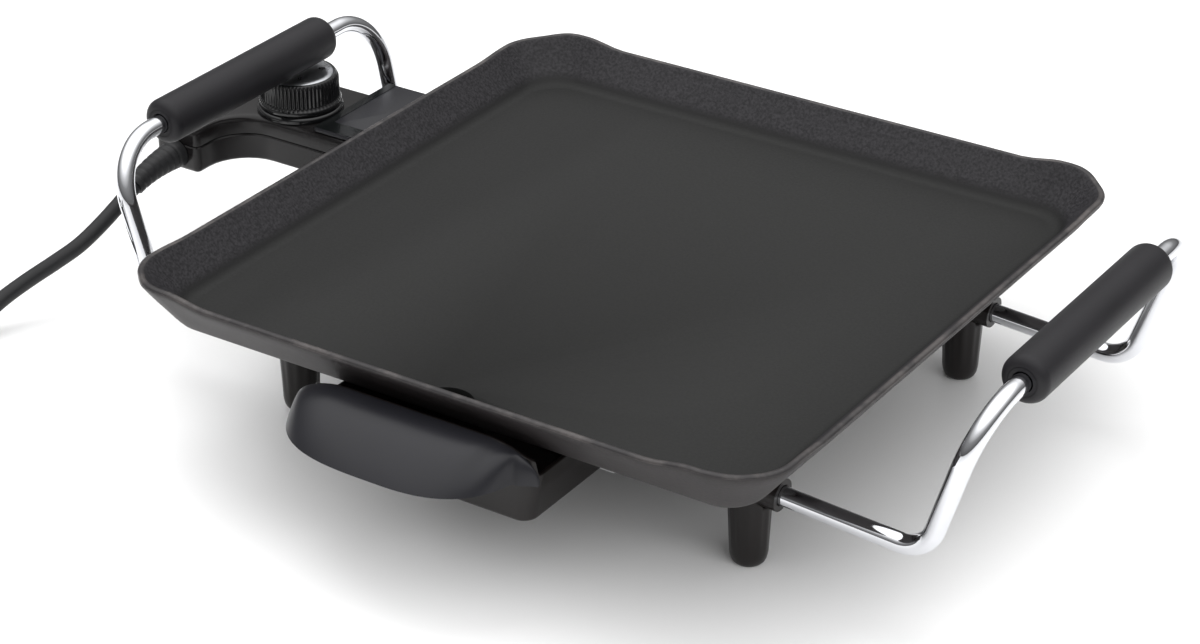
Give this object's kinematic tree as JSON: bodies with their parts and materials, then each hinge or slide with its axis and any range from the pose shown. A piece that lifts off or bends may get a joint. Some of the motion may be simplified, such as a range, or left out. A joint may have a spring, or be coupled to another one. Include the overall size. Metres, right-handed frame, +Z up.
{
  "type": "electric griddle",
  "caption": "Square electric griddle plate on four legs with two wire handles, a drip drawer at the front and a removable dial thermostat plug with a mains cord.",
  "frame": {"origin": "on the table plane under the middle of the bounding box, measured without the mains cord, its coil and its plug", "axes": "+Z up; +Y to the back, away from the drip drawer; +X to the right, away from the thermostat plug; metres"},
  "size_m": [0.5739, 0.4439, 0.1018],
  "materials": {
    "non_stick_coating": "cast aluminium with a pebbled dark grey non-stick coating",
    "black_bakelite": "satin moulded bakelite",
    "gloss_black_plastic": "gloss black",
    "dark_grey_plastic": "satin dark grey",
    "matte_grip_plastic": "matte charcoal",
    "chrome": "bright chrome plating",
    "steel": "plain steel",
    "brass": "plain brass",
    "silver_print": "silver printed disc",
    "ceramic": "unglazed white insulator",
    "black_rubber": "matte black flexible plastic"
  },
  "bodies": {
    "base": {"cooking_plate": "non_stick_coating", "handle_grip_left": "matte_grip_plastic", "handle_grip_right": "matte_grip_plastic", "handle_wire_left": "chrome", "handle_wire_right": "chrome", "heating_element": "steel", "leg_left_front": "black_bakelite", "leg_left_rear": "black_bakelite", "leg_right_front": "black_bakelite", "leg_right_rear": "black_bakelite", "leg_screw_left_front": "steel", "leg_screw_left_rear": "steel", "leg_screw_right_front": "steel", "leg_screw_right_rear": "steel", "rail_screw_left_front": "steel", "rail_screw_left_rear": "steel", "rail_screw_right_front": "steel", "rail_screw_right_rear": "steel", "terminal_guard": "steel", "terminal_pin_front": "steel", "terminal_pin_rear": "steel", "tray_rail_left": "steel", "tray_rail_right": "steel"},
    "drawer": {"drip_tray": "black_bakelite", "tray_handle": "dark_grey_plastic"},
    "thermostat_plug": {"thermostat_upper_shell": "black_bakelite", "thermostat_lower_shell": "black_bakelite", "thermostat_head_plate": "dark_grey_plastic", "shell_screw_1": "steel", "shell_screw_2": "steel", "contact_block": "ceramic", "contact_sleeve_front": "brass", "contact_sleeve_rear": "brass", "temperature_probe": "steel", "thermostat_switch": "ceramic", "dial_bezel": "gloss_black_plastic", "strain_relief": "black_rubber", "mains_cord": "black_rubber", "cord_coil": "black_rubber", "cord_tie": "black_rubber", "mains_plug": "black_rubber", "plug_pin_left": "chrome", "plug_pin_right": "chrome"},
    "dial": {"temperature_dial": "gloss_black_plastic", "dial_cap": "silver_print", "dial_shaft": "steel"}
  },
  "joints": [
    {"name": "tray_slide", "type": "slide", "parent": "base", "child": "drawer", "axis": [0, -1, 0], "range_m": [0, 0.095]},
    {"name": "plug_pull", "type": "slide", "parent": "base", "child": "thermostat_plug", "axis": [-1, 0, 0], "range_m": [0, 0.08]},
    {"name": "dial_turn", "type": "hinge", "parent": "thermostat_plug", "child": "dial", "pos_m": [-0.1835, 0.05615, 0.07], "axis": [0, 0, -1], "range_deg": [0, 270]}
  ]
}
